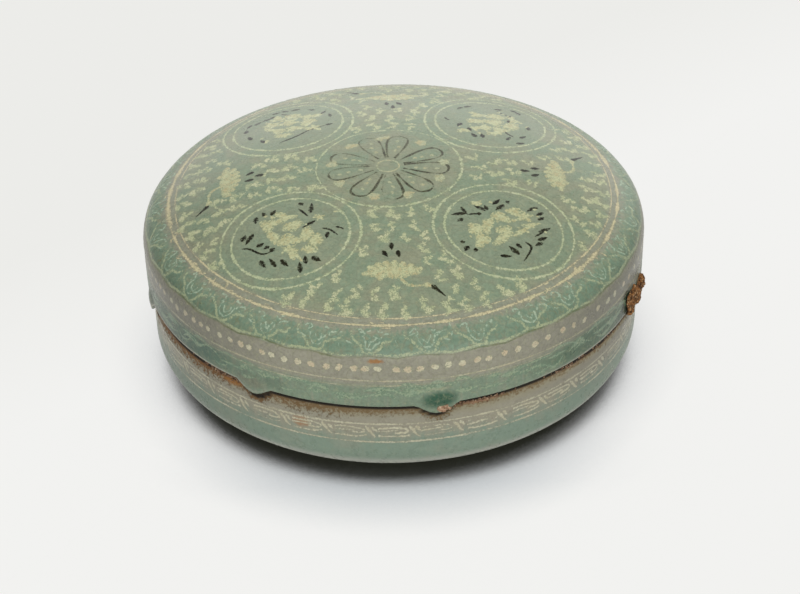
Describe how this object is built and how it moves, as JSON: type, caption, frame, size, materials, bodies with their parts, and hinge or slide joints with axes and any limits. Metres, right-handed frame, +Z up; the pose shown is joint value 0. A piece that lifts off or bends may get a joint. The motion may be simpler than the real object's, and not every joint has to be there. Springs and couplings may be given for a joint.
{
  "type": "covered cosmetic box",
  "caption": "Round covered box of inlaid celadon: a low bowl-like body and a shallow domed lid that lifts straight off over an upright inner flange.",
  "frame": {"origin": "centre of the foot ring's resting plane, which is the bottom centre of the bounding box", "axes": "+Z up along the turning axis, +X to the right as seen from the front, and -Y towards the front; the shortest extent is along Z"},
  "size_m": [0.18, 0.1804, 0.0758],
  "materials": {
    "celadon_body": "grey-green glaze over stoneware, slip-inlaid key fret, bare buff-brown clay at the seat",
    "celadon_lid": "crackled grey-green glaze over cream and black slip inlay",
    "kiln_grit": "rough brown fired grit"
  },
  "bodies": {
    "body": {"box_body": "celadon_body"},
    "lid": {"box_lid": "celadon_lid", "kiln_grit_front": "kiln_grit", "kiln_grit_right": "kiln_grit"}
  },
  "joints": [
    {"name": "lid_lift", "type": "slide", "parent": "body", "child": "lid", "axis": [0, 0, 1], "range_m": [0, 0.08]}
  ]
}
